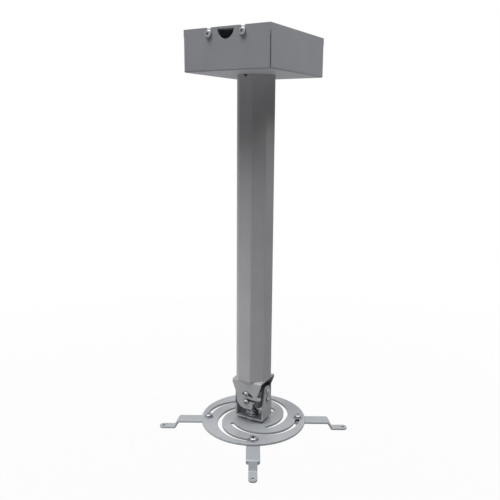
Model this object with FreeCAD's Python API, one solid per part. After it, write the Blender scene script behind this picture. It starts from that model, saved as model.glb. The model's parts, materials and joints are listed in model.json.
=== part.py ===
import FreeCAD, Part
import math
import os

from FreeCAD import Vector

# Projector ceiling mount: a folded cover on a ceiling plate, an octagonal tube,
# a tilt head that turns about two crossed axes, and a round disc whose four
# curved slots hold four cranked arms.
# Millimetres, +Z up. The origin is where the tube's axis meets the ceiling.
# The wall of the cover with the cable notch faces -Y.

# Ceiling plate
plate_t = 3.0
cover_gap = 0.5
ceiling_slot_x = 84.0
ceiling_slot_y = 104.0
ceiling_slot_w = 7.0
ceiling_slot_l = 18.0
plate_corner_r = 4.0
cable_hole_d = 24.0
tab_w = 15.0
tab_drop = 15.0
tab_relief = 1.5
tab_bend_r = 1.0

# Ceiling cover
cover_x = 130.0
cover_y = 154.0
cover_h = 53.5
cover_t = 1.5
cover_bend_r = 0.7
ceiling_clear = 0.5
tube_clear = 0.6
notch_w = 24.5
notch_depth = 15.0
seam_w = 1.1
seam_top = 10.0

# Cover screws, two in front and two behind, the play of a drilled hole all round,
# and how far a cutter starts outside the wall that it cuts
cover_screw_x = 50.8
cover_screw_drop = 7.5
cover_screw_d = 5.0
cover_screw_tip = 2.5
cover_slot_w = 6.4
cover_head_d = 9.5
cover_head_h = 3.4
hole_clear = 0.1
cut_past = 1.0

# Chamfer of every pan head, as a share of its height
pan_crown = 0.45

# Corner radius of a strip's rounded end, as a share of half its width
end_round = 0.98

# Octagonal tube
tube_flats = 50.0
tube_wall = 2.5
tube_l = 493.0
tube_edge_r = 2.0
tube_turn = -4.0
port_d = 10.0
port_bore = 5.2
port_screw_d = 5.0
port_screw_l = 16.0
port_head_d = 9.6
port_sink = 0.6
lock_hole_d = 6.5

# Sheet of the tilt head, which stands slightly turned under the tube
head_turn = 2.5
head_t = 2.5
head_bend_r = 0.8
head_gap = 0.2

# Upper yoke, its ears face the notch side and the back.
# The ear's outline is measured from the pivot: waist, belly, heel, mouth and finger.
yoke_w = 48.0
yoke_d = 46.0
pivot_drop = 33.2
ear_shoulder = 5.0
waist_x = 17.2
waist_rise = 11.0
belly_x = 16.0
belly_drop = 11.4
belly_r = 15.0
heel_x = 10.2
heel_drop = 3.0
mouth_x = 14.0
hook_rise = 2.8
finger_t = 4.6
finger_x = 23.5
ear_shoulder_r = 4.0
waist_r = 10.0
heel_r = 4.0
heel_top_r = 1.0
mouth_r = 0.6
finger_root_r = 1.2

# Pivot and clamp screws of the head
head_screw_d = 4.0
head_screw_slot = 4.6
head_screw_head_d = 8.0
head_screw_head_h = 2.8
head_screw_l = 7.0
pivot_spacing = 12.8
tilt_limit = 22.0
tilt_slot_high = 40.0
roll_limit = 15.0

# Tilt block between the two brackets
block_wall = 2.5
block_rise = 5.0
block_drop = 7.5
block_corner_r = 3.0

# Lower bracket
bracket_w = 48.0
bracket_d = 28.0
bracket_h = 52.8
bracket_top_r = 8.2
bracket_side_r = 4.0
bracket_taper = 16.0

# Swivel bolt
bolt_d = 10.0
bolt_clear = 0.3
bolt_flats = 17.0
bolt_head_h = 6.4
bolt_tip = 2.5
washer_d = 21.0
washer_t = 1.6
nut_h = 8.0
nut_collar_h = 2.0
nut_collar_d = 15.0
spacer_d = 26.0
spacer_t = 3.5

# Disc with four curved slots
disc_d = 160.0
disc_t = 3.5
disc_edge = 0.4
disc_turn = 30.4
slot_rim = 10.86
slot_centre_r = 16.3
slot_centre_turn = -7.0
slot_w = 6.4
slot_sweep = 152.0

# Arms, their lengths are measured from the arm's screw
arm_count = 4
arm_t = 2.5
arm_w = 20.0
arm_tip_w = 12.4
arm_shoulder_l = 47.36
arm_crank_l = 53.4
arm_hole_l = 70.36
arm_drop = 12.0
arm_crank_lean = 28.0
arm_bend_r = 1.5
arm_hole_d = 4.5
shoulder_r = 2.0
neck_r = 0.8

# Arm screws
arm_screw_d = 6.0
arm_head_d = 11.5
arm_head_h = 4.0
arm_washer_d = 15.0
arm_washer_t = 1.2
arm_nut_flats = 10.0
arm_nut_h = 5.0
arm_bore = 6.6
arm_screw_tip = 1.5

# Levels, worked out downwards from the ceiling
cover_bottom = -(ceiling_clear + cover_h)
tube_top = -plate_t
tube_bottom = tube_top - tube_l
yoke_under = tube_bottom - head_t
tilt_z = tube_bottom - pivot_drop
roll_z = tilt_z + pivot_spacing
bracket_top = roll_z + bracket_top_r
bracket_base = bracket_top - bracket_h
disc_top = bracket_base - spacer_t
disc_under = disc_top - disc_t

# Places that follow from the sizes above
tube_half = tube_flats / 2
yoke_half = yoke_w / 2
ear_y = yoke_d / 2
bracket_half = bracket_w / 2
plate_x = cover_x - 2 * (cover_t + cover_gap)
plate_y = cover_y - 2 * (cover_t + cover_gap)
block_x = bracket_w - 2 * (head_t + head_gap)
block_y = yoke_d - 2 * (head_t + head_gap)
port_r = tube_half - tube_wall - port_d / 2 + port_sink
slot_centre = Vector(slot_centre_r * math.cos(math.radians(slot_centre_turn)),
                     slot_centre_r * math.sin(math.radians(slot_centre_turn)), 0)
arm_screw_r = disc_d / 2 - slot_rim
slot_r = math.hypot(arm_screw_r - slot_centre.x, slot_centre.y)
slot_start = math.degrees(math.asin(-slot_centre.y / slot_r))
arm_shoulder_r = arm_screw_r + arm_shoulder_l
arm_crank_r = arm_screw_r + arm_crank_l
arm_hole_r = arm_screw_r + arm_hole_l
arm_end_r = arm_hole_r + arm_tip_w / 2

UP = Vector(0, 0, 1)
ACROSS = Vector(1, 0, 0)
AWAY = Vector(0, 1, 0)
ORIGIN = Vector(0, 0, 0)


def block(x0, x1, y0, y1, z0, z1):
    """Box between two corners."""
    return Part.makeBox(x1 - x0, y1 - y0, z1 - z0, Vector(x0, y0, z0))


def rod(d, length, base, direction=UP):
    """Round bar that starts at base."""
    return Part.makeCylinder(d / 2, length, base, direction)


def turned(shape, degrees, axis=UP):
    """Copy of a shape, turned about an axis through the origin."""
    copy = shape.copy()
    copy.rotate(ORIGIN, axis, degrees)
    return copy


def moved(shape, x=0.0, y=0.0, z=0.0):
    """Copy of a shape, moved."""
    copy = shape.copy()
    copy.translate(Vector(x, y, z))
    return copy


def outline(points, radii):
    """Closed face through corner points, each corner rounded by its own radius."""
    edges = []
    starts = []
    ends = []
    arcs = []
    count = len(points)
    for i in range(count):
        here = points[i]
        before = (here - points[i - 1]).normalize()
        after = (points[(i + 1) % count] - here).normalize()
        radius = radii[i]
        if radius == 0:
            starts.append(here)
            ends.append(here)
            arcs.append(None)
            continue
        half_turn = before.getAngle(after) / 2
        run = radius * math.tan(half_turn)
        bisector = (after - before).normalize()
        middle = here + bisector * (radius / math.cos(half_turn) - radius)
        starts.append(here - before * run)
        ends.append(here + after * run)
        arcs.append(Part.Arc(starts[-1], middle, ends[-1]).toShape())
    for i in range(count):
        if arcs[i]:
            edges.append(arcs[i])
        following = starts[(i + 1) % count]
        if (following - ends[i]).Length > 1e-6:
            edges.append(Part.makeLine(ends[i], following))
    return Part.Face(Part.Wire(edges))


def sheet(path, across, inner_r, thickness):
    """Folded sheet: a path of face points, bent with true radii, pushed across.

    The path follows one face. The sheet lies on the side that the vector
    product of the push and the path points to.
    """
    width = across.Length
    side = Vector(across).normalize()
    steps = [(path[i + 1] - path[i]).normalize() for i in range(len(path) - 1)]
    normals = [side.cross(step) for step in steps]
    far = [path[0] + normals[0] * thickness]
    near_r = [0.0]
    far_r = [0.0]
    for i in range(1, len(path) - 1):
        spread = 1 + normals[i - 1].dot(normals[i])
        far.append(path[i] + (normals[i - 1] + normals[i]) * (thickness / spread))
        far_inside = steps[i - 1].dot(normals[i]) < 0
        near_r.append(inner_r + thickness if far_inside else inner_r)
        far_r.append(inner_r if far_inside else inner_r + thickness)
    far.append(path[-1] + normals[-1] * thickness)
    near_r.append(0.0)
    far_r.append(0.0)
    face = outline(list(path) + far[::-1], near_r + far_r[::-1])
    return face.extrude(side * width)


def ngon(flats, sides, z, height, start=0.0):
    """Regular prism given across its flats, with a flat facing the start angle."""
    radius = flats / 2 / math.cos(math.pi / sides)
    points = []
    for i in range(sides + 1):
        angle = math.radians(start) + (2 * i + 1) * math.pi / sides
        points.append(Vector(radius * math.cos(angle), radius * math.sin(angle), z))
    return Part.Face(Part.makePolygon(points)).extrude(UP * height)


def upright(shape):
    """Edges of a shape that run straight up."""
    found = []
    for edge in shape.Edges:
        if isinstance(edge.Curve, Part.Line) and abs(edge.tangentAt(edge.FirstParameter).z) > 0.999:
            found.append(edge)
    return found


def long_slot(width, length, depth):
    """Round-ended cutter along X, centred on the origin, pushed up from z = 0."""
    half = (length - width) / 2
    body = block(-half, half, -width / 2, width / 2, 0, depth)
    for x in (-half, half):
        body = body.fuse(rod(width, depth, Vector(x, 0, 0)))
    return body.removeSplitter()


def arc_slot(radius, width, start, sweep, depth):
    """Round-ended curved cutter about the origin, pushed up from z = 0."""
    inner = radius - width / 2
    outer = radius + width / 2
    nose = math.degrees(width / 2 / radius)
    end = start + sweep
    middle = start + sweep / 2

    def at(r, degrees):
        angle = math.radians(degrees)
        return Vector(r * math.cos(angle), r * math.sin(angle), 0)

    edges = [
        Part.Arc(at(outer, start), at(outer, middle), at(outer, end)).toShape(),
        Part.Arc(at(outer, end), at(radius, end + nose), at(inner, end)).toShape(),
        Part.Arc(at(inner, end), at(inner, middle), at(inner, start)).toShape(),
        Part.Arc(at(inner, start), at(radius, start - nose), at(outer, start)).toShape(),
    ]
    return Part.Face(Part.Wire(edges)).extrude(UP * depth)


def pan_screw(shank_d, shank_l, head_d, head_h, seat, direction):
    """Pan head standing on its seat, with its shank going the other way."""
    head = rod(head_d, head_h, ORIGIN)
    crown = [e for e in head.Edges if isinstance(e.Curve, Part.Circle) and e.BoundBox.ZMin > head_h / 2]
    head = head.makeChamfer(head_h * pan_crown, crown)
    screw = head.fuse(rod(shank_d, shank_l, Vector(0, 0, -shank_l))).removeSplitter()
    screw.Placement = FreeCAD.Placement(seat, FreeCAD.Rotation(UP, direction))
    return screw


def flat_screw(shank_d, length, head_d, seat, direction):
    """Countersunk screw: its flat top lies on the seat, its shank goes the other way."""
    cone_h = (head_d - shank_d) / 2
    cone = Part.makeCone(shank_d / 2, head_d / 2, cone_h, Vector(0, 0, -cone_h))
    screw = cone.fuse(rod(shank_d, length, Vector(0, 0, -length))).removeSplitter()
    screw.Placement = FreeCAD.Placement(seat, FreeCAD.Rotation(UP, direction))
    return screw


def port_places():
    """Places of the four screw ports round the tube's axis."""
    return [turned(Part.Vertex(Vector(port_r, 0, 0)), 45 + 90 * i).Point for i in range(4)]


def port_screws(z, direction):
    """Four countersunk screws into the tube's end, flush with the plate they hold."""
    return [flat_screw(port_screw_d, port_screw_l, port_head_d, place + UP * z, direction)
            for place in port_places()]


def port_holes(z, direction):
    """Countersinks that take the port screws, larger by the clearance all round."""
    wide = 2 * hole_clear
    return [flat_screw(port_screw_d + wide, port_screw_l, port_head_d + wide, place + UP * z, direction)
            for place in port_places()]


def cover_screw_places():
    """Seats of the cover screws on the outside of the cover, and the way they face."""
    z = -(ceiling_clear + cover_screw_drop)
    places = []
    for side in (-1, 1):
        for x in (-cover_screw_x / 2, cover_screw_x / 2):
            places.append((Vector(x * -side, side * cover_y / 2, z), Vector(0, side, 0)))
    return places


def make_ceiling_plate():
    """Flat plate with ceiling slots and a tab bent down behind each cover screw."""
    plate = block(-plate_x / 2, plate_x / 2, -plate_y / 2, plate_y / 2, -plate_t, 0)
    plate = plate.makeFillet(plate_corner_r, upright(plate))
    bend = tab_bend_r + plate_t
    root = plate_y / 2 - bend
    for place, facing in cover_screw_places():
        angle = 0 if facing.y < 0 else 180
        x = place.x * -facing.y
        relief = block(x - tab_w / 2 - tab_relief, x + tab_w / 2 + tab_relief,
                       -plate_y / 2, -root, -plate_t, 0)
        plate = plate.cut(turned(relief, angle))
        path = [Vector(x - tab_w / 2, -root + plate_t, 0), Vector(x - tab_w / 2, -plate_y / 2, 0),
                Vector(x - tab_w / 2, -plate_y / 2, -tab_drop)]
        tab = sheet(path, ACROSS * tab_w, tab_bend_r, plate_t)
        plate = plate.fuse(turned(tab, angle))
        shaft = rod(cover_screw_d + 2 * hole_clear, 3 * plate_t, place, facing * -1)
        plate = plate.cut(shaft)
    for x in (-ceiling_slot_x / 2, ceiling_slot_x / 2):
        for y in (-ceiling_slot_y / 2, ceiling_slot_y / 2):
            slot = long_slot(ceiling_slot_w, ceiling_slot_l, plate_t)
            plate = plate.cut(moved(slot, x, y, -plate_t))
    plate = plate.cut(rod(cable_hole_d, plate_t, Vector(0, 0, -plate_t)))
    for hole in port_holes(0, UP):
        plate = plate.cut(turned(hole, tube_turn))
    return plate.removeSplitter()


def make_cover():
    """Folded cover, open above, with corner seams, screw slots and a cable notch."""
    top = -ceiling_clear
    outer = block(-cover_x / 2, cover_x / 2, -cover_y / 2, cover_y / 2, cover_bottom, top)
    rim = [e for e in outer.Edges if e.BoundBox.ZMax < cover_bottom + 0.01]
    outer = outer.makeFillet(cover_bend_r + cover_t, rim)
    floor = cover_bottom + cover_t
    inner = block(-cover_x / 2 + cover_t, cover_x / 2 - cover_t,
                  -cover_y / 2 + cover_t, cover_y / 2 - cover_t, floor, top)
    rim = [e for e in inner.Edges if e.BoundBox.ZMax < floor + 0.01]
    cover = outer.cut(inner.makeFillet(cover_bend_r, rim))
    opening = ngon(tube_flats + 2 * tube_clear, 8, cover_bottom, cover_t, 90)
    cover = cover.cut(turned(opening, tube_turn))
    for place, facing in cover_screw_places():
        half = cover_slot_w / 2
        y0, y1 = sorted((place.y + facing.y, place.y - 2 * facing.y * cover_t))
        slot = block(place.x - half, place.x + half, y0, y1, place.z, top)
        slot = slot.fuse(rod(cover_slot_w, y1 - y0, Vector(place.x, y0, place.z), AWAY))
        cover = cover.cut(slot)
    front = -cover_y / 2
    half = notch_w / 2
    centre_z = top - notch_depth + half
    notch = block(-half, half, front - cut_past, front + 2 * cover_t, centre_z, top)
    notch = notch.fuse(rod(notch_w, 2 * cover_t + cut_past, Vector(0, front - cut_past, centre_z), AWAY))
    cover = cover.cut(notch)
    reach = 2 * cover_t
    seam = block(-reach, reach, -seam_w / 2, seam_w / 2,
                 cover_bottom + cover_t + cover_bend_r, top - seam_top)
    for x in (-1, 1):
        for y in (-1, 1):
            slit = moved(turned(seam, 45 * x * y), x * cover_x / 2, y * cover_y / 2)
            cover = cover.cut(slit)
    return cover


def make_tube():
    """Octagonal extrusion with four screw ports inside and a lock hole at the cover."""
    outer = ngon(tube_flats, 8, tube_bottom, tube_l, 90)
    outer = outer.makeFillet(tube_edge_r, upright(outer))
    inner = ngon(tube_flats - 2 * tube_wall, 8, tube_bottom, tube_l, 90)
    tube = outer.cut(inner)
    ring = outer.cut(inner)
    for place in port_places():
        boss = rod(port_d, tube_l, place + UP * tube_bottom)
        ring = ring.fuse(boss.common(outer))
    for place in port_places():
        ring = ring.cut(rod(port_bore, tube_l, place + UP * tube_bottom))
    hole = rod(lock_hole_d, tube_wall + cut_past, Vector(0, -tube_half - cut_past, cover_bottom), AWAY)
    return ring.cut(hole).removeSplitter()


def ear_outline():
    """Outline of the front ear, as a face in the XZ plane of the tilt pivot."""
    finger_low = hook_rise + head_screw_slot / 2
    finger_high = finger_low + finger_t
    nose = finger_t / 2 * end_round
    corners = [
        (-yoke_half, pivot_drop, 0),
        (-yoke_half, pivot_drop - ear_shoulder, ear_shoulder_r),
        (-waist_x, waist_rise, waist_r),
        (-belly_x, -belly_drop, belly_r),
        (heel_x, -belly_drop, heel_r),
        (heel_x, -heel_drop, heel_top_r),
        (mouth_x, hook_rise - head_screw_slot / 2, mouth_r),
        (mouth_x, finger_low, 0),
        (finger_x, finger_low, nose),
        (finger_x, finger_high, nose),
        (waist_x, finger_high, finger_root_r),
        (yoke_half, pivot_drop - ear_shoulder, ear_shoulder_r),
        (yoke_half, pivot_drop, 0),
    ]
    return outline([Vector(x, 0, z) for x, z, r in corners], [r for x, z, r in corners])


def ear_cutters():
    """Hook slot with its seat, and the curved clamp slot, for the front ear."""
    depth = 4 * head_t
    lift = turned(long_slot(head_screw_slot, hook_rise + head_screw_slot, depth), 90)
    seat = moved(lift, 0, hook_rise / 2)
    mouth = moved(long_slot(head_screw_slot, yoke_w, depth), yoke_half - head_screw_slot / 2, hook_rise)
    clamp = arc_slot(pivot_spacing, head_screw_slot, 90 - tilt_slot_high, tilt_slot_high + tilt_limit, depth)
    cutters = []
    for cutter in (seat, mouth, clamp):
        cutters.append(moved(turned(cutter, 90, ACROSS), 0, -ear_y + 2 * head_t, tilt_z))
    return cutters


def make_upper_yoke():
    """Folded U under the tube, its two hooked ears mirror each other by a half turn."""
    low = tilt_z - belly_drop
    path = [Vector(yoke_half, -ear_y, low), Vector(yoke_half, -ear_y, tube_bottom),
            Vector(yoke_half, ear_y, tube_bottom), Vector(yoke_half, ear_y, low)]
    folded = sheet(path, ACROSS * -yoke_w, head_bend_r, head_t)
    front = moved(ear_outline().extrude(AWAY * ear_y), 0, -ear_y, tilt_z)
    yoke = folded.common(front.fuse(turned(front, 180)))
    for angle in (0, 180):
        for cutter in ear_cutters():
            yoke = yoke.cut(turned(cutter, angle))
    for hole in port_holes(yoke_under, UP * -1):
        yoke = yoke.cut(turned(hole, tube_turn - head_turn))
    return yoke.removeSplitter()


def head_screw_places():
    """Seats of the eight head screws: name, seat and the way the head faces."""
    places = []
    for side, name in ((-1, "front"), (1, "back")):
        seat = Vector(0, side * ear_y, 0)
        places.append(("tilt_pivot_screw_" + name, seat + UP * tilt_z, Vector(0, side, 0)))
        places.append(("tilt_clamp_screw_" + name, seat + UP * roll_z, Vector(0, side, 0)))
    for side, name in ((-1, "left"), (1, "right")):
        seat = Vector(side * bracket_half, 0, 0)
        places.append(("roll_pivot_screw_" + name, seat + UP * roll_z, Vector(side, 0, 0)))
        places.append(("roll_clamp_screw_" + name, seat + UP * tilt_z, Vector(side, 0, 0)))
    return places


def make_tilt_block():
    """Short square tube between the brackets, with two screw holes in each wall."""
    low = tilt_z - block_drop
    high = roll_z + block_rise
    outer = block(-block_x / 2, block_x / 2, -block_y / 2, block_y / 2, low, high)
    outer = outer.makeFillet(block_corner_r, upright(outer))
    wall = block_wall
    inner = block(-block_x / 2 + wall, block_x / 2 - wall, -block_y / 2 + wall, block_y / 2 - wall, low, high)
    inner = inner.makeFillet(block_corner_r - wall, upright(inner))
    body = outer.cut(inner)
    for name, seat, facing in head_screw_places():
        body = body.cut(rod(head_screw_d + 2 * hole_clear, 3 * head_t + block_wall, seat, facing * -1))
    return body


def make_lower_bracket():
    """U bracket on the swivel bolt, with rounded, tapered ears and clamp slots."""
    half_d = bracket_d / 2
    path = [Vector(-bracket_half, half_d, bracket_top), Vector(-bracket_half, half_d, bracket_base),
            Vector(bracket_half, half_d, bracket_base), Vector(bracket_half, half_d, bracket_top)]
    bracket = sheet(path, AWAY * -bracket_d, head_bend_r, head_t)
    wide = roll_z - bracket_taper
    lean = math.atan2(bracket_taper, half_d)
    far = math.hypot(half_d, bracket_taper)
    touch = math.radians(180) + lean - math.acos(bracket_top_r / far)
    crown = math.radians(90)
    corner = bracket_top_r / math.cos((touch - crown) / 2)
    bisector = (touch + crown) / 2
    crown_y = corner * math.cos(bisector)
    corners = [
        (-half_d, bracket_base, 0),
        (-half_d, wide, bracket_side_r),
        (crown_y, bracket_top, bracket_top_r),
        (-crown_y, bracket_top, bracket_top_r),
        (half_d, wide, bracket_side_r),
        (half_d, bracket_base, 0),
    ]
    face = outline([Vector(-bracket_half, y, z) for y, z, r in corners], [r for y, z, r in corners])
    bracket = bracket.common(face.extrude(ACROSS * bracket_w))
    pivot = rod(head_screw_slot, bracket_w, Vector(-bracket_half, 0, roll_z), ACROSS)
    clamp = arc_slot(pivot_spacing, head_screw_slot, -roll_limit, 2 * roll_limit, bracket_w)
    clamp = moved(turned(clamp, 90, AWAY), -bracket_half, 0, roll_z)
    bolt_hole = rod(bolt_d + 2 * hole_clear, head_t, Vector(0, 0, bracket_base))
    return bracket.cut(pivot).cut(clamp).cut(bolt_hole).removeSplitter()


def make_swivel_hardware():
    """Bolt from below, spacer, washers and lock nut that hold the disc to the bracket."""
    bore = bolt_d + 2 * hole_clear
    seat = bracket_base + head_t
    head_z = disc_under - washer_t - bolt_head_h
    tip = seat + washer_t + nut_h + bolt_tip
    bolt = ngon(bolt_flats, 6, head_z, bolt_head_h).fuse(rod(bolt_d, tip - head_z, Vector(0, 0, head_z)))
    spacer = rod(spacer_d, spacer_t, Vector(0, 0, disc_top)).cut(rod(bore, spacer_t, Vector(0, 0, disc_top)))
    washers = []
    for z in (seat, disc_under - washer_t):
        washer = rod(washer_d, washer_t, Vector(0, 0, z))
        washers.append(washer.cut(rod(bore, washer_t, Vector(0, 0, z))))
    nut = ngon(bolt_flats, 6, seat + washer_t, nut_h - nut_collar_h)
    nut = nut.fuse(rod(nut_collar_d, nut_h, Vector(0, 0, seat + washer_t)))
    nut = nut.cut(rod(bore, nut_h, Vector(0, 0, seat + washer_t)))
    return {
        "swivel_bolt": bolt.removeSplitter(),
        "swivel_spacer": spacer,
        "swivel_washer_upper": washers[0],
        "swivel_washer_lower": washers[1],
        "swivel_nut": nut.removeSplitter(),
    }


def make_disc():
    """Round plate with one curved slot for each arm."""
    disc = rod(disc_d, disc_t, Vector(0, 0, disc_under))
    disc = disc.makeChamfer(disc_edge, [e for e in disc.Edges if isinstance(e.Curve, Part.Circle)])
    slot = arc_slot(slot_r, slot_w, slot_start, slot_sweep, disc_t)
    slot = moved(slot, slot_centre.x, slot_centre.y, disc_under)
    slot = slot.mirror(ORIGIN, AWAY)
    for i in range(arm_count):
        disc = disc.cut(turned(slot, disc_turn + i * 360 / arm_count))
    return disc.cut(rod(bolt_d + 2 * bolt_clear, disc_t, Vector(0, 0, disc_under)))


def make_arm():
    """Cranked flat arm along +X: wide to its shoulders, then narrow, down and out."""
    start = arm_screw_r - arm_w / 2
    crank_low = arm_crank_r
    crank_high = crank_low - arm_drop * math.tan(math.radians(arm_crank_lean))
    low = disc_under - arm_drop
    y = arm_w / 2
    path = [Vector(start, -y, disc_under), Vector(crank_high, -y, disc_under),
            Vector(crank_low, -y, low), Vector(arm_end_r, -y, low)]
    arm = sheet(path, AWAY * arm_w, arm_bend_r, arm_t)
    tip = arm_tip_w / 2
    corners = [
        (start, -y, y * end_round),
        (arm_shoulder_r, -y, shoulder_r),
        (arm_shoulder_r, -tip, neck_r),
        (arm_end_r, -tip, tip * end_round),
        (arm_end_r, tip, tip * end_round),
        (arm_shoulder_r, tip, neck_r),
        (arm_shoulder_r, y, shoulder_r),
        (start, y, y * end_round),
    ]
    face = outline([Vector(px, py, low - arm_t) for px, py, r in corners], [r for px, py, r in corners])
    arm = arm.common(face.extrude(UP * (arm_drop + 2 * arm_t)))
    arm = arm.cut(rod(arm_bore, arm_t, Vector(arm_screw_r, 0, disc_under - arm_t)))
    return arm.cut(rod(arm_hole_d, arm_t, Vector(arm_hole_r, 0, low - arm_t)))


def make_arm_hardware():
    """Screw, washer and nut at the inner end of the arm that lies along +X."""
    place = Vector(arm_screw_r, 0, 0)
    seat = disc_top + arm_washer_t
    under = disc_under - arm_t
    length = seat - under + arm_nut_h + arm_screw_tip
    screw = pan_screw(arm_screw_d, length, arm_head_d, arm_head_h, place + UP * seat, UP)
    bore = arm_screw_d + 2 * hole_clear
    washer = rod(arm_washer_d, arm_washer_t, place + UP * disc_top)
    washer = washer.cut(rod(bore, arm_washer_t, place + UP * disc_top))
    nut = moved(ngon(arm_nut_flats, 6, under - arm_nut_h, arm_nut_h), place.x)
    nut = nut.cut(rod(bore, arm_nut_h, place + UP * (under - arm_nut_h)))
    return {"arm_screw": screw, "arm_washer": washer, "arm_nut": nut}


def build():
    """Every node of the mount, by name."""
    nodes = {
        "ceiling_plate": make_ceiling_plate(),
        "ceiling_cover": make_cover(),
    }
    nodes["tube"] = turned(make_tube(), tube_turn)
    for i, screw in enumerate(port_screws(0, UP)):
        nodes["tube_top_screw_%d" % (i + 1)] = turned(screw, tube_turn)
    for i, screw in enumerate(port_screws(yoke_under, UP * -1)):
        nodes["tube_foot_screw_%d" % (i + 1)] = turned(screw, tube_turn)
    head = {
        "upper_yoke": make_upper_yoke(),
        "tilt_block": make_tilt_block(),
        "lower_bracket": make_lower_bracket(),
    }
    for name, seat, facing in head_screw_places():
        screw = pan_screw(head_screw_d, head_screw_l, head_screw_head_d, head_screw_head_h, seat, facing)
        head[name] = screw
    head.update(make_swivel_hardware())
    for name, shape in head.items():
        nodes[name] = turned(shape, head_turn)
    shank = cover_t + cover_gap + plate_t + cover_screw_tip
    for i, (seat, facing) in enumerate(cover_screw_places()):
        screw = pan_screw(cover_screw_d, shank, cover_head_d, cover_head_h, seat, facing)
        nodes["cover_screw_%d" % (i + 1)] = screw
    nodes["arm_disc"] = make_disc()
    arm = make_arm()
    hardware = make_arm_hardware()
    for i, side in enumerate(("right", "back", "left", "front")):
        angle = disc_turn + i * 360 / arm_count
        nodes["arm_" + side] = turned(arm, angle)
        for name, shape in hardware.items():
            nodes[name + "_" + side] = turned(shape, angle)
    return nodes


os.makedirs("parts", exist_ok=True)
for node_name, node_shape in build().items():
    if not node_shape.isValid():
        print("not valid:", node_name)
    node_shape.exportStep("parts/%s.step" % node_name)
    print(node_name, len(node_shape.Solids), round(node_shape.Volume, 1), len(node_shape.Faces))

print("slot centre in the frame of the arm along +X:", [round(v, 3) for v in slot_centre])
print("screw radius", round(arm_screw_r, 3), "arm end", round(arm_end_r, 3))
print("levels: tilt", tilt_z, "roll", roll_z, "bracket", bracket_base, "disc", disc_top, disc_under)
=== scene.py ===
# %% [markdown]
# # A projector mount, dressed for its portrait
#
# The mount hangs from a ceiling. A folded cover hides the ceiling plate, an
# octagonal tube drops from it, and a small tilt head carries a slotted disc
# with four cranked arms. The measured frame already holds every piece at its
# real size and place. This lesson gives each piece its finish, swaps the plain
# fasteners for detailed ones, and then lights and photographs the whole.

import json
import math

import bmesh
import bpy
from mathutils import Matrix, Vector

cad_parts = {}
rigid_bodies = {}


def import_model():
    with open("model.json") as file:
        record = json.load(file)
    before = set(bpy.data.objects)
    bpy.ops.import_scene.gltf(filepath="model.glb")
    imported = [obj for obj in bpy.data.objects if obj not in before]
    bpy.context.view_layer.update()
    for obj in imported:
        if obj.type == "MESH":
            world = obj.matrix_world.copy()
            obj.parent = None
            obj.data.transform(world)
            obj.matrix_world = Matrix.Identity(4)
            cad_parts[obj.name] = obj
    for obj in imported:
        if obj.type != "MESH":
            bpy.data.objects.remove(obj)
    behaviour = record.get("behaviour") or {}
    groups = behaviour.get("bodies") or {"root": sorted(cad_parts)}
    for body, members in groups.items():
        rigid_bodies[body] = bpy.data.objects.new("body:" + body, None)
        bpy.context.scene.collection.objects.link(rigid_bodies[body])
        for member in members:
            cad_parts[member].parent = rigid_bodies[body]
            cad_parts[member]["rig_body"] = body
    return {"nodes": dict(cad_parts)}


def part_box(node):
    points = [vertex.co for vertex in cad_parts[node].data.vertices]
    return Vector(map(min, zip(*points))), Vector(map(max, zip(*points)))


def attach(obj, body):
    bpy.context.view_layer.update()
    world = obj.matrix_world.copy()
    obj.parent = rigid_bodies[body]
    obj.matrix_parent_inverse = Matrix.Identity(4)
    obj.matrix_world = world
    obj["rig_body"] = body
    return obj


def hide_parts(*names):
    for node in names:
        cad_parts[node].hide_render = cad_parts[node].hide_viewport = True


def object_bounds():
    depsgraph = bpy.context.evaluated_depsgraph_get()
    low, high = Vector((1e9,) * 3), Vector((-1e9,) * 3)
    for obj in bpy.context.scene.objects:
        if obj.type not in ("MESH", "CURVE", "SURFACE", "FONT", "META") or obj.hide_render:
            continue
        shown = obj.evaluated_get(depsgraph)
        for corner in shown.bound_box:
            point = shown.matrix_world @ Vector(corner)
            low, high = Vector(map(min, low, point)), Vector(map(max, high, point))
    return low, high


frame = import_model()
cad_box = [list(corner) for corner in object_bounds()]
print("frame box in metres:", cad_box)

# %% [markdown]
# The frame is in metres, but a fitter thinks in millimetres. One named factor
# keeps every size below readable. The tilt head stands a few degrees out of
# square with the cover, as it does on the real mount, and the disc with its
# arms stands at an angle of its own.

# %% Units and directions
MM = 0.001
HEAD_TURN = math.radians(2.5)
ARM_TURN = math.radians(30.4)
UP = Vector((0, 0, 1))
DOWN = Vector((0, 0, -1))
SIDES = ("right", "back", "left", "front")
TURN_OF = {side: ARM_TURN + i * math.pi / 2 for i, side in enumerate(SIDES)}


def middle(node):
    """Centre of a node's box at rest."""
    low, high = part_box(node)
    return (Vector(low) + Vector(high)) / 2


def flat_direction(x, y, turn):
    """A level direction, turned about the vertical."""
    return Matrix.Rotation(turn, 3, "Z") @ Vector((x, y, 0))


# %% [markdown]
# ## Finishes
#
# Almost everything here is steel under silver-grey powder coat. Such a coat
# has three things that a flat colour lacks: a fine orange peel that breaks up
# the highlights, a faint cloudiness from uneven spraying, and tiny aluminium
# flakes that make single grains lighter or darker. Each is one noise pattern
# on Object coordinates, so the grain keeps its real size on every piece.

# %% Node helpers
def start_material(name):
    """A new material with its node tree, shader and Object coordinates."""
    material = bpy.data.materials.new(name)
    material.use_nodes = True
    tree = material.node_tree
    shader = tree.nodes["Principled BSDF"]
    place = tree.nodes.new("ShaderNodeTexCoord").outputs["Object"]
    return material, tree, shader, place


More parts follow.
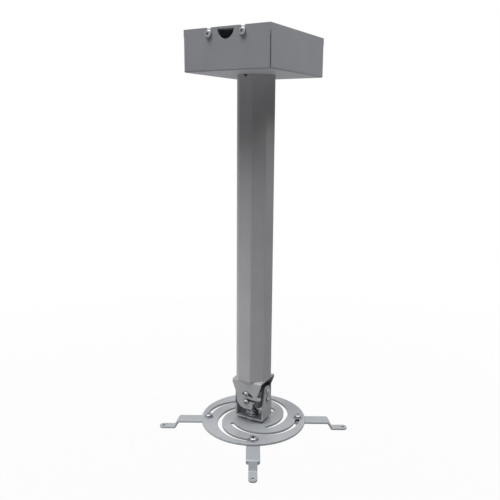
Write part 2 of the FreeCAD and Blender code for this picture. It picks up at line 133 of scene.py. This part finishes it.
def noise(tree, place, grain, detail=2.0, stretch=(1, 1, 1)):
    """Noise whose grain is given in metres, stretched where asked."""
    mapping = tree.nodes.new("ShaderNodeMapping")
    mapping.inputs["Scale"].default_value = stretch
    tree.links.new(place, mapping.inputs["Vector"])
    node = tree.nodes.new("ShaderNodeTexNoise")
    node.inputs["Scale"].default_value = 1 / grain
    node.inputs["Detail"].default_value = detail
    tree.links.new(mapping.outputs["Vector"], node.inputs["Vector"])
    return node.outputs["Fac"]


def remap(tree, value, low, high, start=0.3, end=0.7):
    """Stretches a value between two new limits. Most noise lies from 0.3 to 0.7."""
    node = tree.nodes.new("ShaderNodeMapRange")
    node.inputs["From Min"].default_value = start
    node.inputs["From Max"].default_value = end
    node.inputs["To Min"].default_value = low
    node.inputs["To Max"].default_value = high
    tree.links.new(value, node.inputs["Value"])
    return node.outputs["Result"]


def vary(tree, value, centre, share):
    """A value that strays from its centre by a share either way."""
    return remap(tree, value, centre - share, centre + share)


def times(tree, a, b):
    """Product of two values."""
    node = tree.nodes.new("ShaderNodeMath")
    node.operation = "MULTIPLY"
    tree.links.new(a, node.inputs[0])
    tree.links.new(b, node.inputs[1])
    return node.outputs["Value"]


def tint(tree, colour, value):
    """A colour made darker or lighter by a value."""
    node = tree.nodes.new("ShaderNodeMix")
    node.data_type = "RGBA"
    node.blend_type = "MULTIPLY"
    node.inputs["Factor"].default_value = 1.0
    node.inputs["A"].default_value = (*colour, 1)
    grey = tree.nodes.new("ShaderNodeCombineColor")
    for channel in ("Red", "Green", "Blue"):
        tree.links.new(value, grey.inputs[channel])
    tree.links.new(grey.outputs["Color"], node.inputs["B"])
    return node.outputs["Result"]


def relief(tree, shader, value, height):
    """Bump of a given height in metres, on top of any that is there."""
    bump = tree.nodes.new("ShaderNodeBump")
    bump.inputs["Distance"].default_value = height
    bump.inputs["Strength"].default_value = 1.0
    tree.links.new(value, bump.inputs["Height"])
    normal = shader.inputs["Normal"]
    if normal.is_linked:
        tree.links.new(normal.links[0].from_socket, bump.inputs["Normal"])
    tree.links.new(bump.outputs["Normal"], normal)


print("node helpers ready")

# %% [markdown]
# The powder coat. The cloudiness is as wide as a spray stroke, the orange peel
# about a millimetre and a half from crest to crest, and the flakes a quarter of
# a millimetre. The disc and the arms have a silkier coat than the cover: a
# slight metallic share gives silver paint its soft sheen.

# %% Powder coat
CLOUD = 45 * MM
PEEL = 1.6 * MM
FLAKE = 0.25 * MM
PEEL_HEIGHT = 0.012 * MM
CLOUD_SHARE = 0.04
FLAKE_SHARE = 0.07
PEEL_ROUGHNESS = 0.05


def powder_coat(name, colour, roughness, metallic=0.0, gloss=0.3):
    """Silver-grey powder coat with cloudiness, orange peel and flakes."""
    material, tree, shader, place = start_material(name)
    clouds = vary(tree, noise(tree, place, CLOUD, detail=3), 1, CLOUD_SHARE)
    flakes = vary(tree, noise(tree, place, FLAKE, detail=1), 1, FLAKE_SHARE)
    paint = tint(tree, colour, times(tree, clouds, flakes))
    tree.links.new(paint, shader.inputs["Base Color"])
    peel = noise(tree, place, PEEL)
    tree.links.new(vary(tree, peel, roughness, PEEL_ROUGHNESS), shader.inputs["Roughness"])
    shader.inputs["Metallic"].default_value = metallic
    shader.inputs["Specular IOR Level"].default_value = gloss
    relief(tree, shader, peel, PEEL_HEIGHT)
    return material


cover_paint = powder_coat("cover_powder_coat", (0.45, 0.465, 0.497), 0.58)
head_paint = powder_coat("head_powder_coat", (0.475, 0.48, 0.495), 0.5)
disc_paint = powder_coat("disc_powder_coat", (0.378, 0.393, 0.412), 0.42, 0.1, gloss=0.5)
arm_paint = powder_coat("arm_powder_coat", (0.39, 0.41, 0.433), 0.42, 0.1, gloss=0.5)
print("powder coats: 4")

# %% [markdown]
# The tube is drawn through a die, so its coat lies over faint lines that run
# along it. Stretching the noise along Z turns grain into lines. The coat is
# dull, or its flat sides would flash where the light grazes them.

# %% Tube coat
DRAW_LINE = 0.7 * MM
DRAW_STRETCH = (1, 1, 0.012)
DRAW_HEIGHT = 0.006 * MM
DRAW_SHARE = 0.035
DRAW_ROUGHNESS = 0.06
TUBE_GLOSS = 0.03
TUBE_PEEL_HEIGHT = 0.6 * PEEL_HEIGHT


def drawn_coat(name, colour, roughness):
    """Grey coat over the long draw lines of an extrusion."""
    material, tree, shader, place = start_material(name)
    lines = noise(tree, place, DRAW_LINE, stretch=DRAW_STRETCH)
    clouds = vary(tree, noise(tree, place, CLOUD, detail=3), 1, CLOUD_SHARE)
    streaks = vary(tree, lines, 1, DRAW_SHARE)
    paint = tint(tree, colour, times(tree, clouds, streaks))
    tree.links.new(paint, shader.inputs["Base Color"])
    tree.links.new(vary(tree, lines, roughness, DRAW_ROUGHNESS), shader.inputs["Roughness"])
    shader.inputs["Specular IOR Level"].default_value = TUBE_GLOSS
    relief(tree, shader, lines, DRAW_HEIGHT)
    relief(tree, shader, noise(tree, place, PEEL), TUBE_PEEL_HEIGHT)
    return material


tube_coat = drawn_coat("tube_drawn_coat", (0.52, 0.516, 0.535), 0.5)
print("tube coat: 1")

# %% [markdown]
# The fasteners and the block in the head are bare plated steel, but the block's
# plating is painted nearly black, as painted shade for the shadow inside the
# yoke. Plating is fully metallic, and what makes it believable is uneven
# roughness: smudges of a few millimetres and a fine brushing, which runs
# upright on the block. A cross recess gets little light, so its faces get a
# nearly black plating of their own as painted shade. That keeps the cross
# readable on a head that is only a few pixels wide.

# %% Bright plating
SMUDGE = 7 * MM
BRUSH = 0.35 * MM
BRUSH_HEIGHT = 0.003 * MM
SMUDGE_ROUGHNESS = (0.8, 1.25)
BRUSH_ROUGHNESS = (0.8, 1.2)
SMUDGE_TINT = (0.92, 1.06)


def plating(name, colour, roughness, stretch=(1, 1, 1)):
    """Plated steel with smudges and fine brushing."""
    material, tree, shader, place = start_material(name)
    brushing = noise(tree, place, BRUSH, stretch=stretch)
    smudges = noise(tree, place, SMUDGE, detail=3)
    smudged = remap(tree, smudges, *SMUDGE_ROUGHNESS)
    brushed = remap(tree, brushing, *[roughness * share for share in BRUSH_ROUGHNESS])
    tree.links.new(times(tree, smudged, brushed), shader.inputs["Roughness"])
    metal = tint(tree, colour, remap(tree, smudges, *SMUDGE_TINT))
    tree.links.new(metal, shader.inputs["Base Color"])
    shader.inputs["Metallic"].default_value = 1.0
    relief(tree, shader, brushing, BRUSH_HEIGHT)
    return material


screw_plating = plating("screw_plating", (0.26, 0.27, 0.29), 0.22)
washer_plating = plating("washer_plating", (0.34, 0.35, 0.37), 0.36)
# The block's plating is painted nearly black, as painted shade for the shadow that lies inside
# the yoke.
block_plating = plating("block_plating", (0.085, 0.086, 0.09), 0.45, (1, 1, 0.05))
bolt_plating = plating("bolt_plating", (0.34, 0.35, 0.38), 0.35)
# Painted shade: the faces deep in a cross recess, which the lamps barely reach, get this nearly
# black plating.
recess_painted_shade = plating("recess_painted_shade", (0.05, 0.05, 0.055), 0.6)
print("platings: 5")

# %% [markdown]
# ## Sheet edges
#
# No cut edge on real sheet is razor sharp. A bevel of a quarter of a
# millimetre catches the light as a thin line and separates the pieces. The
# frame's meshes are loose triangles, so a Weld modifier joins them first and
# the Bevel modifier then finds the sharp edges by their angle. The tube is
# left as it is, because its eight corners are blunt already.

# %% Dress the sheet pieces
EDGE = 0.25 * MM
WELD = 0.002 * MM
SHARP = math.radians(35)
BEVEL_SEGMENTS = 2


def soften(node, width):
    """Breaks the sharp edges of a frame node with modifiers, mesh untouched."""
    weld = node.modifiers.new("weld", "WELD")
    weld.merge_threshold = WELD
    bevel = node.modifiers.new("bevel", "BEVEL")
    bevel.width = width
    bevel.segments = BEVEL_SEGMENTS
    bevel.limit_method = "ANGLE"
    bevel.angle_limit = SHARP
    bevel.harden_normals = True


def dress(name, material, width=EDGE):
    """Gives a frame node its finish and its broken edges."""
    node = frame["nodes"][name]
    node.data.materials.clear()
    node.data.materials.append(material)
    if width:
        soften(node, width)


dress("ceiling_plate", cover_paint)
dress("ceiling_cover", cover_paint)
dress("tube", tube_coat, width=0)
dress("upper_yoke", head_paint)
dress("lower_bracket", head_paint)
# The block takes the plating that is painted dark as shade.
dress("tilt_block", block_plating)
dress("arm_disc", disc_paint)
dress("swivel_spacer", bolt_plating)
dress("swivel_washer_upper", washer_plating)
dress("swivel_washer_lower", washer_plating)
for side in SIDES:
    dress("arm_" + side, arm_paint)
    dress("arm_washer_" + side, washer_plating)
print("dressed pieces:", len([n for n in frame["nodes"].values() if n.data.materials]))

# %% [markdown]
# ## Fasteners
#
# A screw is turned on a lathe, so its blank is a profile spun about an axis.
# That is shorter than placing faces by hand, and always round. Every fastener
# is made once, in millimetres, at the origin and with its head up, and is then
# copied to its places.

# %% A lathe
LATHE_STEPS = 32
MERGE = 1e-4
ABOUT_Z = {"axis": (0, 0, 1), "cent": (0, 0, 0)}


def full_turn(bm, geom):
    """Spins a profile all the way round and closes it on itself."""
    bmesh.ops.spin(bm, geom=geom, steps=LATHE_STEPS, angle=2 * math.pi, use_merge=True, **ABOUT_Z)
    bmesh.ops.remove_doubles(bm, verts=bm.verts, dist=MERGE)
    bmesh.ops.recalc_face_normals(bm, faces=bm.faces)


def lathe(points):
    """Closed solid of revolution from points as (radius, height), with both ends on the axis."""
    bm = bmesh.new()
    verts = [bm.verts.new((r, 0, z)) for r, z in points]
    edges = [bm.edges.new(pair) for pair in zip(verts, verts[1:])]
    full_turn(bm, verts + edges)
    return bm


print("lathe steps:", LATHE_STEPS)

# %% [markdown]
# Some shapes are one solid cut by another: a recess punched into a head, a
# hexagon milled from a blank, a bore drilled through a nut. The Boolean
# modifier does such a cut on two scratch objects, and only its result is kept.

# %% Scratch objects and cuts
def to_object(bm, name):
    """A scratch object that holds a bmesh."""
    mesh = bpy.data.meshes.new(name)
    bm.to_mesh(mesh)
    bm.free()
    piece = bpy.data.objects.new(name, mesh)
    bpy.context.scene.collection.objects.link(piece)
    return piece


def combine(blank, tool, operation):
    """Boolean of two scratch objects, returned as a mesh. Both objects go."""
    cut = blank.modifiers.new("cut", "BOOLEAN")
    cut.object = tool
    cut.operation = operation
    cut.solver = "EXACT"
    bpy.context.view_layer.update()
    result = blank.evaluated_get(bpy.context.evaluated_depsgraph_get())
    mesh = bpy.data.meshes.new_from_object(result)
    bpy.data.objects.remove(blank)
    bpy.data.objects.remove(tool)
    return mesh


def joined(*parts):
    """One mesh out of several bmeshes and meshes."""
    bm = bmesh.new()
    for part in parts:
        if isinstance(part, bmesh.types.BMesh):
            mesh = bpy.data.meshes.new("part")
            part.to_mesh(mesh)
            part.free()
            part = mesh
        bm.from_mesh(part)
    mesh = bpy.data.meshes.new("joined")
    bm.to_mesh(mesh)
    bm.free()
    return mesh


print("scratch tools ready")

# %% [markdown]
# A thread is a ridge that climbs as it goes round, so a small four-cornered
# face is spun about the shank and lifted by one pitch each turn. Its foot sinks
# into the shank, which leaves no gap between the two. The shank itself runs up
# into the head, and stays plain where a countersunk head is sunk.

# %% Threads and shanks
THREAD_STEPS = 20
THREAD_DEPTH = 0.61              # of the pitch, as in a metric thread
RIDGE_SINK = 0.1
RIDGE = (0.05, 0.45, 0.55, 0.95)  # where along the pitch its corners lie
TIP_TAPER, TIP_RISE, TIP_PLAIN = 0.4, 0.5, 0.3  # chamfer and bare end, of the pitch
NECK = 0.2
INTO_HEAD = 0.2


def add_thread(bm, radius, pitch, low, high):
    """A climbing ridge round a shank that is already in the bmesh."""
    foot = radius - THREAD_DEPTH * pitch - RIDGE_SINK
    steps = int((high - low - pitch) / pitch * THREAD_STEPS)
    corners = zip((foot, radius, radius, foot), RIDGE)
    face = bm.faces.new([bm.verts.new((r, 0, low + share * pitch)) for r, share in corners])
    bmesh.ops.spin(bm, geom=[face], steps=steps, angle=steps * 2 * math.pi / THREAD_STEPS,
                   dvec=(0, 0, pitch / THREAD_STEPS), **ABOUT_Z)


def threaded_shank(radius, length, pitch, plain=0.0):
    """A shank with a chamfered tip that runs up into its head, plain where the head is sunk."""
    root = radius - THREAD_DEPTH * pitch
    tip = -length
    top = INTO_HEAD - plain
    bm = lathe([(0, tip), (root - TIP_TAPER * pitch, tip), (root, tip + TIP_RISE * pitch),
                (root, -plain - NECK), (radius, -plain), (radius, top), (0, top)])
    add_thread(bm, radius, pitch, tip + TIP_PLAIN * pitch, -plain)
    bmesh.ops.recalc_face_normals(bm, faces=bm.faces)
    return bm


print("thread depth of the pitch:", THREAD_DEPTH)

# %% [markdown]
# Three kinds of head are needed. The pan head has a short upright wall under a
# domed crown, the countersunk head is a flat cone, and the swivel bolt has a
# hexagon whose corners are turned off. The hexagon is easiest as a turned
# blank that is cut by a six-sided bar.

# %% Heads
CROWN_STEPS = 7
PAN_WALL = 0.42                  # of the head's height, the rest is dome
PAN_SEAT, PAN_LIFT = 0.96, 0.06  # chamfer at the seat, of the radius and the height
FLAT_RIM = 0.15
HEX_CHAMFER = math.radians(30)
HEX_FACE = 0.95                  # width of the end face, of the flats
HEX_LAND = 0.1


def pan_head(d, h):
    """Turned pan head with a domed crown, standing on its seat."""
    r = d / 2
    angles = [i * math.pi / 2 / CROWN_STEPS for i in range(CROWN_STEPS)]
    crown = [(r * math.cos(t), h * (PAN_WALL + (1 - PAN_WALL) * math.sin(t))) for t in angles]
    return lathe([(0, 0), (r * PAN_SEAT, 0), (r, h * PAN_LIFT)] + crown + [(0, h)])


def flat_head(d, shank):
    """Countersunk head below the origin."""
    foot = -(d - shank) / 2
    return lathe([(0, foot), (shank / 2, foot), (d / 2, -FLAT_RIM), (d / 2, 0), (0, 0)])


def hex_head(flats, height, both=False):
    """Hexagon that stands on the origin, its corners turned off above, or at both ends."""
    r = flats / 2
    corner = r / math.cos(math.pi / 6)
    face = r * HEX_FACE
    lift = (corner - r) * math.tan(HEX_CHAMFER)
    foot = [(0, 0), (face, 0), (corner, lift + HEX_LAND)] if both else [(0, 0), (corner, 0)]
    crown = [(corner, height - lift - HEX_LAND), (face, height), (0, height)]
    blank = to_object(lathe(foot + crown), "hex_blank")
    bar = bmesh.new()
    at = Matrix.Translation((0, 0, height / 2)) @ Matrix.Rotation(math.pi / 6, 4, "Z")
    bmesh.ops.create_cone(bar, cap_ends=True, segments=6, radius1=corner, radius2=corner,
                          depth=2 * height, matrix=at)
    return combine(blank, to_object(bar, "hex_bar"), "INTERSECT")


print("kinds of head: 3")

# %% [markdown]
# The cross recess is punched into the blank after turning. The punch is a
# cross that narrows downwards, and its size follows the head's diameter. The
# faces that it leaves get the second, darker plating, which is painted shade.

# %% Cross recesses
CROSS_REACH, CROSS_BLADE = 0.3, 0.085      # of the head's diameter
CROSS_DEPTH, CROSS_LEAST_DEPTH = 0.2, 0.9  # of the diameter, and at least in millimetres
CROSS_TAPER = 0.45
RECESS_SHADE_FROM, RECESS_SHADE_TO = 0.3, 1.05         # of the recess's depth


def cross_tool(reach, blade, depth, top):
    """The punch that makes a cross recess: a tapered cross, upside down."""
    bm = bmesh.new()
    verts = []
    for quarter in range(4):
        turn = Matrix.Rotation(quarter * math.pi / 2, 3, "Z")
        for x, y in ((reach, -blade), (reach, blade), (blade, blade)):
            verts.append(bm.verts.new(turn @ Vector((x, y, top + depth))))
    rim = bm.faces.new(verts)
    pushed = bmesh.ops.extrude_face_region(bm, geom=[rim])
    lower = [v for v in pushed["geom"] if isinstance(v, bmesh.types.BMVert)]
    bmesh.ops.translate(bm, verts=lower, vec=(0, 0, -2 * depth))
    bmesh.ops.scale(bm, verts=lower, vec=(CROSS_TAPER, CROSS_TAPER, 1))
    bmesh.ops.recalc_face_normals(bm, faces=bm.faces)
    return to_object(bm, "cross_tool")


def cross_screw(head_bm, head_d, top, d, length, pitch, sunk=0.0):
    """A screw with a cross punched in its head, which may be sunk below the origin."""
    depth = max(CROSS_LEAST_DEPTH, head_d * CROSS_DEPTH)
    reach = head_d * CROSS_REACH
    punch = cross_tool(reach, head_d * CROSS_BLADE, depth, top)
    head = combine(to_object(head_bm, "head"), punch, "DIFFERENCE")
    screw = joined(head, threaded_shank(d / 2, length, pitch, sunk))
    for face in screw.polygons:
        down = (top - face.center.z) / depth
        if face.center.xy.length < reach and RECESS_SHADE_FROM < down < RECESS_SHADE_TO:
            # Faces deep in the recess take the painted shade.
            face.material_index = 1
    return screw


def pan_screw(head_d, head_h, d, length, pitch):
    """A cross screw with a pan head."""
    return cross_screw(pan_head(head_d, head_h), head_d, head_h, d, length, pitch)


print("recess depth of the head:", CROSS_DEPTH)

# %% [markdown]
# A nut is a hexagon with both faces turned off and a bore drilled through it.
# The lock nut of the swivel also has a round collar, which holds its plastic
# ring. The collar is a closed profile spun about the bore, and its foot sinks
# into the hexagon.

# %% Nuts
COLLAR_INSET = 1.3
COLLAR_SINK = 0.4
COLLAR_SHOULDER = 0.45           # of the collar's height, where its crimp begins
COLLAR_CRIMP = 0.4               # of the collar's height
COLLAR_LIP = 0.3


def collar_ring(flats, height, bore, collar):
    """The collar on top of a lock nut."""
    r = flats / 2 - COLLAR_INSET
    inner = bore / 2
    foot = height - collar - COLLAR_SINK
    profile = ((inner, foot), (r, foot), (r, height - collar * COLLAR_SHOULDER),
               (r - collar * COLLAR_CRIMP, height), (inner + COLLAR_LIP, height),
               (inner, height - COLLAR_LIP))
    ring = bmesh.new()
    face = ring.faces.new([ring.verts.new((x, 0, z)) for x, z in profile])
    rim = list(face.edges)
    ring.faces.remove(face)
    full_turn(ring, rim)
    return ring


def hex_nut(flats, height, bore, collar=0.0):
    """Nut with both faces turned off, its bore, and a collar where it locks."""
    nut = to_object(bmesh.new(), "nut")
    nut.data = hex_head(flats, height - collar, both=True)
    drill = bmesh.new()
    bmesh.ops.create_cone(drill, cap_ends=True, segments=LATHE_STEPS, radius1=bore / 2,
                          radius2=bore / 2, depth=4 * height)
    nut_mesh = combine(nut, to_object(drill, "drill"), "DIFFERENCE")
    if not collar:
        return nut_mesh
    return joined(nut_mesh, collar_ring(flats, height, bore, collar))


print("collar inset in millimetres:", COLLAR_INSET)

# %% [markdown]
# A fastener's place is read from the frame's plain screw: the middle of its
# box, and the way in which it points. The detailed copy stands for the plain
# one and rides on the same body, so it moves when the joint does.

# %% Placing a fastener
SMOOTH = math.radians(32)


def place(mesh, node, seat, facing, spin, material=screw_plating):
    """Puts a copy of a fastener on its seat, instead of the plain node."""
    turn = UP.rotation_difference(facing).to_matrix().to_4x4()
    spun = turn @ Matrix.Rotation(spin, 4, "Z")
    copy = mesh.copy()
    copy.transform(Matrix.Translation(seat) @ spun @ Matrix.Scale(MM, 4))
    copy.shade_smooth()
    copy.set_sharp_from_angle(angle=SMOOTH)
    copy.materials.append(material)
    # A second material holds the recess's painted shade.
    if any(face.material_index for face in copy.polygons):
        copy.materials.append(recess_painted_shade)
    piece = bpy.data.objects.new("detailed_" + node, copy)
    bpy.context.scene.collection.objects.link(piece)
    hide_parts(node)
    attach(piece, frame["nodes"][node]["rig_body"])


def seat_of(node, facing, head, shank):
    """Where the head of a plain screw sits, from the middle of its box."""
    return middle(node) - facing * (head - shank) / 2 * MM


print("smooth up to", round(math.degrees(SMOOTH)), "degrees")

# %% [markdown]
# Four pan-head screws hold the cover, two in front and two behind. No fitter
# stops them all at the same angle, so each cross is turned a little further
# than the last. The same goes for the other screws.

# %% Cover screws
COVER_HEAD_D, COVER_HEAD_H, COVER_D, COVER_SHANK, COVER_PITCH = 9.5, 3.4, 5.0, 7.5, 0.8
COVER_SPIN = 0.5
cover_screw = pan_screw(COVER_HEAD_D, COVER_HEAD_H, COVER_D, COVER_SHANK, COVER_PITCH)
for number in range(1, 5):
    node = "cover_screw_%d" % number
    facing = Vector((0, math.copysign(1, middle(node).y), 0))
    seat = seat_of(node, facing, COVER_HEAD_H, COVER_SHANK)
    place(cover_screw, node, seat, facing, COVER_SPIN * number)
print("cover screws: 4")

# %% [markdown]
# The head turns on two crossed pairs of pivot screws. Each of its four sides
# also has a clamp screw, which holds the angle in a curved slot. All eight are
# alike, so one mesh does for all of them.

# %% Screws of the tilt head
HEAD_HEAD_D, HEAD_HEAD_H, HEAD_D, HEAD_SHANK, HEAD_PITCH = 8.0, 2.8, 4.0, 7.0, 0.7
WAYS = {"front": (0, -1), "back": (0, 1), "left": (-1, 0), "right": (1, 0)}
JOBS = {"tilt": ("front", "back"), "roll": ("left", "right")}
HEAD_SPINS = {"pivot": 0.35, "clamp": 0.9}
head_screw = pan_screw(HEAD_HEAD_D, HEAD_HEAD_H, HEAD_D, HEAD_SHANK, HEAD_PITCH)
for job, sides in JOBS.items():
    for use, spin in HEAD_SPINS.items():
        for side in sides:
            node = "%s_%s_screw_%s" % (job, use, side)
            facing = flat_direction(*WAYS[side], HEAD_TURN)
            seat = seat_of(node, facing, HEAD_HEAD_H, HEAD_SHANK)
            place(head_screw, node, seat, facing, spin)
print("head screws: 8")

# %% [markdown]
# The tube is held by four countersunk screws at each end, which go into round
# ports in its corners. Their heads lie flush with the plate and with the yoke.

# %% Countersunk screws of the tube
PORT_HEAD_D, PORT_D, PORT_LENGTH, PORT_PITCH = 9.6, 5.0, 16.0, 0.8
PORT_SPIN = 0.7
port_screw = cross_screw(flat_head(PORT_HEAD_D, PORT_D), PORT_HEAD_D, 0, PORT_D, PORT_LENGTH,
                         PORT_PITCH, sunk=(PORT_HEAD_D - PORT_D) / 2)
for end, facing in (("top", UP), ("foot", DOWN)):
    for number in range(1, 5):
        node = "tube_%s_screw_%d" % (end, number)
        place(port_screw, node, seat_of(node, facing, 0, PORT_LENGTH), facing, PORT_SPIN * number)
print("tube screws: 8")

# %% [markdown]
# Each arm hangs under the disc on a screw and a nut, with a washer above the
# slot. The screw's length is measured on the frame, so that its tip ends where
# the plain one does.

# %% Arm screws and their nuts
ARM_HEAD_D, ARM_HEAD_H, ARM_D, ARM_PITCH = 11.5, 4.0, 6.0, 1.0
ARM_NUT_FLATS, ARM_NUT_H = 10.0, 5.0
ARM_SPIN, ARM_SPIN_STEP = 0.6, 0.8
BORE_CLEAR = 0.2
low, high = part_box("arm_screw_right")
arm_shank = (high[2] - low[2]) / MM - ARM_HEAD_H
arm_screw = pan_screw(ARM_HEAD_D, ARM_HEAD_H, ARM_D, arm_shank, ARM_PITCH)
arm_nut = hex_nut(ARM_NUT_FLATS, ARM_NUT_H, ARM_D + BORE_CLEAR)
for number, side in enumerate(SIDES):
    node = "arm_screw_" + side
    seat = seat_of(node, UP, ARM_HEAD_H, arm_shank)
    place(arm_screw, node, seat, UP, ARM_SPIN + ARM_SPIN_STEP * number)
    node = "arm_nut_" + side
    seat = middle(node) - UP * ARM_NUT_H / 2 * MM
    place(arm_nut, node, seat, UP, TURN_OF[side])
print("arm screws and nuts: 4 and 4, shank", round(arm_shank, 2))

# %% [markdown]
# One large bolt carries the disc. Its hexagon sits under the disc and its lock
# nut above the bracket's floor. A plain nut would work loose as the disc
# turns, and a lock nut doesn't.

# %% Swivel bolt and its lock nut
BOLT_FLATS, BOLT_HEAD_H, BOLT_D, BOLT_PITCH = 17.0, 6.4, 10.0, 1.5
SWIVEL_NUT_H, NUT_COLLAR = 8.0, 2.0
low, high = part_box("swivel_bolt")
bolt_length = (high[2] - low[2]) / MM - BOLT_HEAD_H
bolt_head = hex_head(BOLT_FLATS, BOLT_HEAD_H)
swivel_bolt = joined(bolt_head, threaded_shank(BOLT_D / 2, bolt_length, BOLT_PITCH))
seat = Vector((0, 0, low[2] + BOLT_HEAD_H * MM))
place(swivel_bolt, "swivel_bolt", seat, DOWN, HEAD_TURN, bolt_plating)
swivel_nut = hex_nut(BOLT_FLATS, SWIVEL_NUT_H, BOLT_D + BORE_CLEAR, NUT_COLLAR)
seat = middle("swivel_nut") - UP * SWIVEL_NUT_H / 2 * MM
place(swivel_nut, "swivel_nut", seat, UP, HEAD_TURN, bolt_plating)
print("swivel bolt length under its head:", round(bolt_length, 2))

# %% [markdown]
# ## The studio
#
# The portrait has nothing but white around the mount. A white world would do
# that, but it would also light the mount from every side and flatten it. So
# the world is white only for the camera and for reflections, and gives no
# light of its own.

# %% White surroundings
def white_unless(tree, dim):
    """A strength of 1 for what the camera or a reflection sees, and dim for all other light."""
    path = tree.nodes.new("ShaderNodeLightPath")
    seen = path.outputs["Is Camera Ray"]
    for ray in ("Is Glossy Ray", "Is Transmission Ray"):
        either = tree.nodes.new("ShaderNodeMath")
        either.operation = "MAXIMUM"
        tree.links.new(seen, either.inputs[0])
        tree.links.new(path.outputs[ray], either.inputs[1])
        seen = either.outputs["Value"]
    return remap(tree, seen, dim, 1.0, 0.0, 1.0)


AMBIENT = 0.0
world = bpy.data.worlds.new("white_studio")
world.use_nodes = True
bpy.context.scene.world = world
sky = world.node_tree.nodes["Background"]
sky.inputs["Color"].default_value = (1, 1, 1, 1)
world.node_tree.links.new(white_unless(world.node_tree, AMBIENT), sky.inputs["Strength"])
print("ambient light:", AMBIENT)

# %% [markdown]
# The floor lies well below the arms. It is a pale diffuse sheet that the
# camera sees as almost white, with a little of its own shading mixed in, so
# that the object's soft shadow stays. A round gradient about the mount's axis
# fades that share out, so no horizon line shows where the floor ends.

# %% Floor
FLOOR_DROP = 0.45
FLOOR_HALF = 6.0
FLOOR_GREY = 0.6
FLOOR_ROUGHNESS = 0.9
SHADE_SHARE = 0.06
SHADE_REACH = 2.5
bm = bmesh.new()
bmesh.ops.create_grid(bm, x_segments=1, y_segments=1, size=FLOOR_HALF)
floor_z = cad_box[0][2] - FLOOR_DROP
bmesh.ops.translate(bm, verts=bm.verts, vec=(0, 0, floor_z))
floor = to_object(bm, "floor")
material, tree, shader, place_on_floor = start_material("pale_floor")
shader.inputs["Base Color"].default_value = (FLOOR_GREY, FLOOR_GREY, FLOOR_GREY, 1)
shader.inputs["Roughness"].default_value = FLOOR_ROUGHNESS
glow = tree.nodes.new("ShaderNodeEmission")
blend = tree.nodes.new("ShaderNodeMixShader")
tree.links.new(white_unless(tree, 0.0), blend.inputs["Fac"])
share = tree.nodes.new("ShaderNodeMixShader")
spread = tree.nodes.new("ShaderNodeMapping")
spread.inputs["Scale"].default_value = [1 / SHADE_REACH] * 3
spread.inputs["Location"].default_value = (0, 0, -floor_z / SHADE_REACH)
fade = tree.nodes.new("ShaderNodeTexGradient")
fade.gradient_type = "SPHERICAL"
tree.links.new(place_on_floor, spread.inputs["Vector"])
tree.links.new(spread.outputs["Vector"], fade.inputs["Vector"])
shade = remap(tree, fade.outputs["Fac"], 0.0, SHADE_SHARE, 0.0, 1.0)
tree.links.new(shade, share.inputs["Fac"])
tree.links.new(shader.outputs["BSDF"], blend.inputs[1])
tree.links.new(glow.outputs["Emission"], share.inputs[1])
tree.links.new(shader.outputs["BSDF"], share.inputs[2])
tree.links.new(share.outputs["Shader"], blend.inputs[2])
tree.links.new(blend.outputs["Shader"], tree.nodes["Material Output"].inputs["Surface"])
floor.data.materials.append(material)
print("floor at", round(floor_z, 3))

# %% [markdown]
# The light comes from above: the cover's shadow lies on the top of the tube,
# the disc's flat top is the brightest face and the upright faces are half as
# bright. So a wide panel hangs above and a little behind, which also puts a
# shadow in front of the bracket, and one box over each side lights the cover's
# two walls alike. Two small, weak lamps near the foot lift the tube's lower
# end and the tilt head.

# %% Lamps
LAMPS = (
    # name, place, point it looks at, side in metres, watts, spread in degrees
    ("ceiling_panel", (-0.25, 0.45, 1.3), (0, 0, -0.4), 3.0, 21, 180),
    ("overhead_left", (-0.3, -0.65, 1.7), (0, 0, -0.4), 0.8, 27, 180),
    ("overhead_right", (0.8, 0.15, 1.6), (0, 0, -0.2), 0.8, 17, 180),
    ("foot_fill", (-0.21, -0.39, -0.5), (0, 0, -0.5), 0.25, 0.27, 120),
    ("right_fill", (0.45, 0.02, -0.52), (0, 0, -0.5), 0.25, 0.08, 120),
)


def softbox(name, at, aim, size, power, spread):
    """A square area lamp that looks at a point."""
    lamp = bpy.data.lights.new(name, "AREA")
    lamp.shape = "SQUARE"
    lamp.size = size
    lamp.energy = power
    lamp.spread = math.radians(spread)
    holder = bpy.data.objects.new(name, lamp)
    bpy.context.scene.collection.objects.link(holder)
    holder.location = at
    holder.rotation_euler = (Vector(aim) - Vector(at)).to_track_quat("-Z", "Y").to_euler()


for lamp in LAMPS:
    softbox(*lamp)
print("lamps:", len(LAMPS))

# %% [markdown]
# ## The camera
#
# The camera's place, lens and tilt were worked out from the straight edges of
# the cover and the tube and from the disc's rim. It stands about twelve
# centimetres below the ceiling, to the right of the side with the cable notch,
# and looks slightly down. The Standard view transform shows the coats in the
# colours that they were given.

# %% Camera
CAMERA_AT = Vector((0.4207, -0.7185, -0.1216))
CAMERA_HEADING = math.radians(30.825)
CAMERA_PITCH = math.radians(-12.048)
CAMERA_ROLL = math.radians(0.4)
FOCAL_PX = 582.4
FRAME_PX = 500.0
SENSOR = 36.0
camera = bpy.data.objects.new("camera", bpy.data.cameras.new("camera"))
bpy.context.scene.collection.objects.link(camera)
camera.data.sensor_width = SENSOR
camera.data.lens = FOCAL_PX / FRAME_PX * SENSOR
turn = (Matrix.Rotation(CAMERA_HEADING, 4, "Z")
        @ Matrix.Rotation(math.pi / 2 + CAMERA_PITCH, 4, "X")
        @ Matrix.Rotation(CAMERA_ROLL, 4, "Z"))
camera.matrix_world = Matrix.Translation(CAMERA_AT) @ turn
bpy.context.scene.camera = camera
bpy.context.scene.view_settings.view_transform = "Standard"
print("lens:", round(camera.data.lens, 2), "mm")

# %% [markdown]
# Last, the script ends. No detail may stick out of the measured piece, whose
# box was printed at the start.

# %% The end
print("the end")
